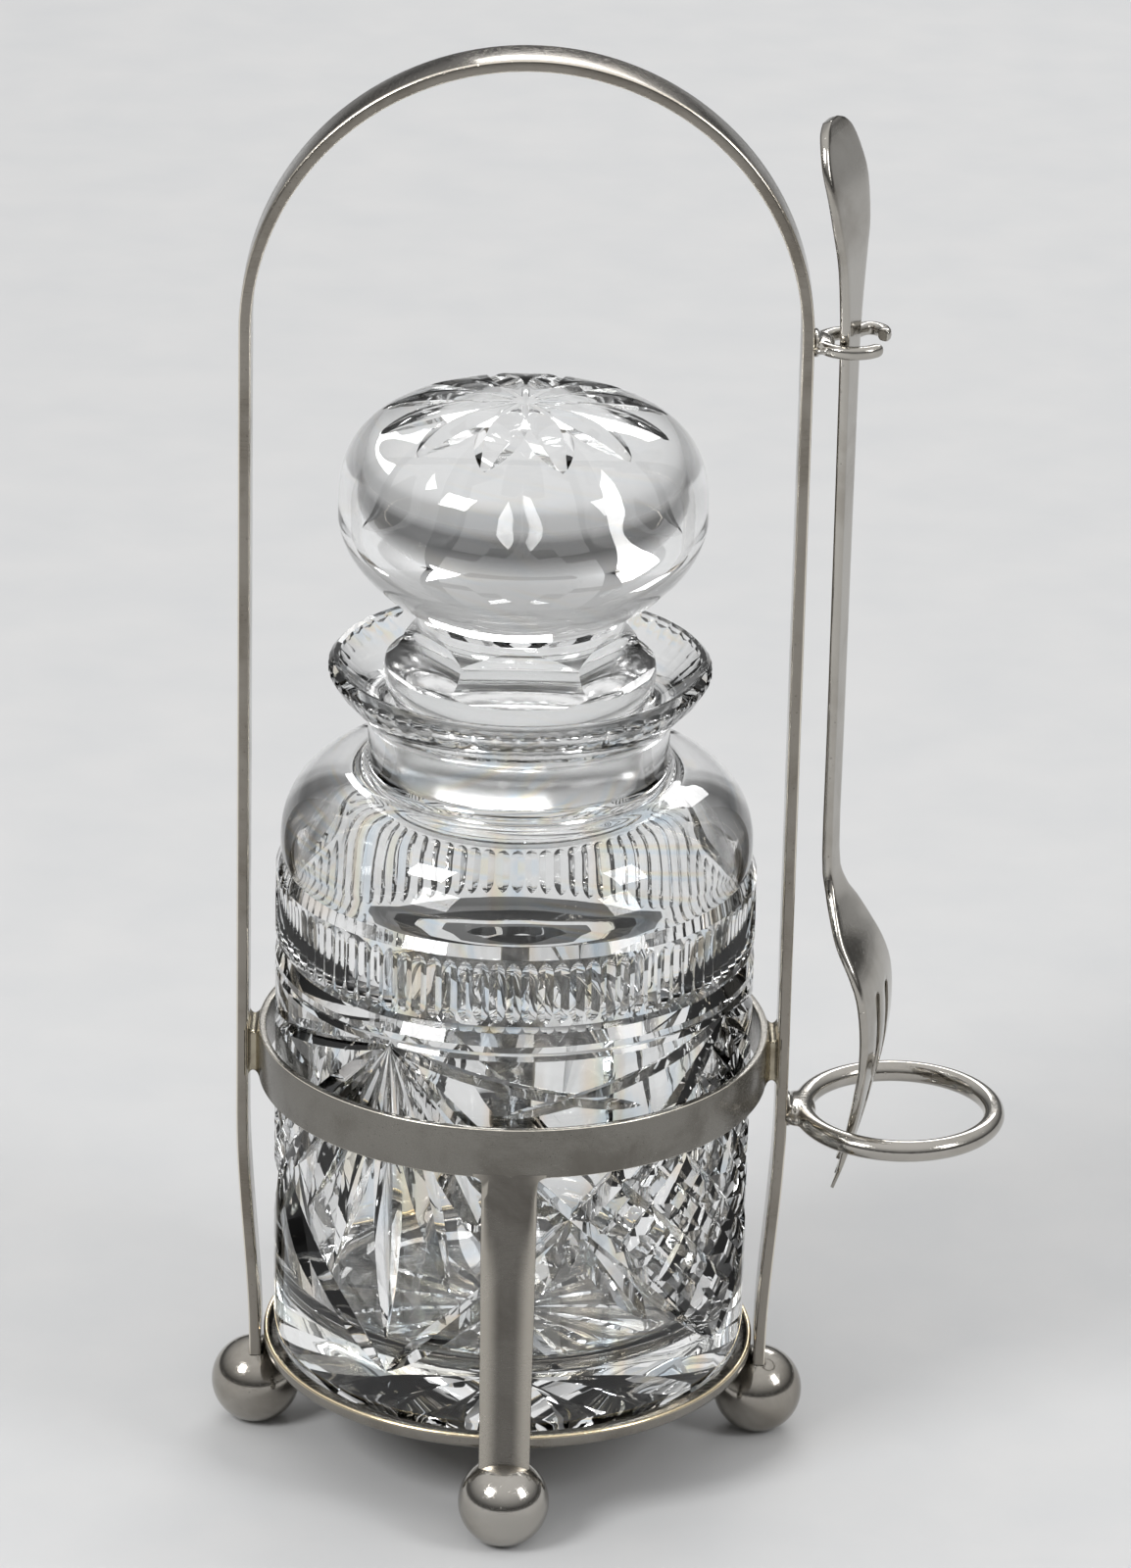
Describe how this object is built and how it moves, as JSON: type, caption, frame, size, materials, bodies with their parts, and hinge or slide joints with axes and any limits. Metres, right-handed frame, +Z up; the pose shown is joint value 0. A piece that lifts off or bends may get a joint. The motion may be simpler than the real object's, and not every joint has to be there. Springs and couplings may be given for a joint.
{
  "type": "glass pickle jar",
  "caption": "Cut-glass pickle jar with a mushroom stopper, standing in a plated carrying frame with an arched handle, ball feet, a fork clip and ring, and a hanging pickle fork.",
  "frame": {"origin": "on the surface that the ball feet stand on, under the middle of the whole set", "axes": "+Z up, +X towards the fork's side, -Y towards the front leg"},
  "size_m": [0.1394, 0.1054, 0.254],
  "materials": {
    "plated_strip": "polished, finely scratched",
    "plated_satin": "satin, dulled by wear",
    "plated_bright": "mirror polished",
    "solder": "warm, tarnished",
    "crystal": "clear, polished, wheel cut"
  },
  "bodies": {
    "stand": {"handle": "plated_strip", "front_leg": "plated_satin", "back_leg": "plated_satin", "band": "plated_satin", "left_solder": "solder", "right_solder": "solder", "base_plate": "plated_strip", "front_foot": "plated_bright", "back_foot": "plated_bright", "left_foot": "plated_bright", "right_foot": "plated_bright", "fork_clip": "plated_bright", "fork_ring": "plated_bright"},
    "jar": {"jar": "crystal"},
    "stopper": {"stopper": "crystal"},
    "fork": {"fork": "plated_strip"}
  },
  "joints": [
    {"name": "jar_lift", "type": "slide", "parent": "stand", "child": "jar", "axis": [0, 0, 1], "range_m": [0, 0.034]},
    {"name": "stopper_lift", "type": "slide", "parent": "jar", "child": "stopper", "axis": [0, 0, 1], "range_m": [0, 0.02]},
    {"name": "fork_lift", "type": "slide", "parent": "stand", "child": "fork", "axis": [0, 0, 1], "range_m": [0, 0.024]}
  ]
}
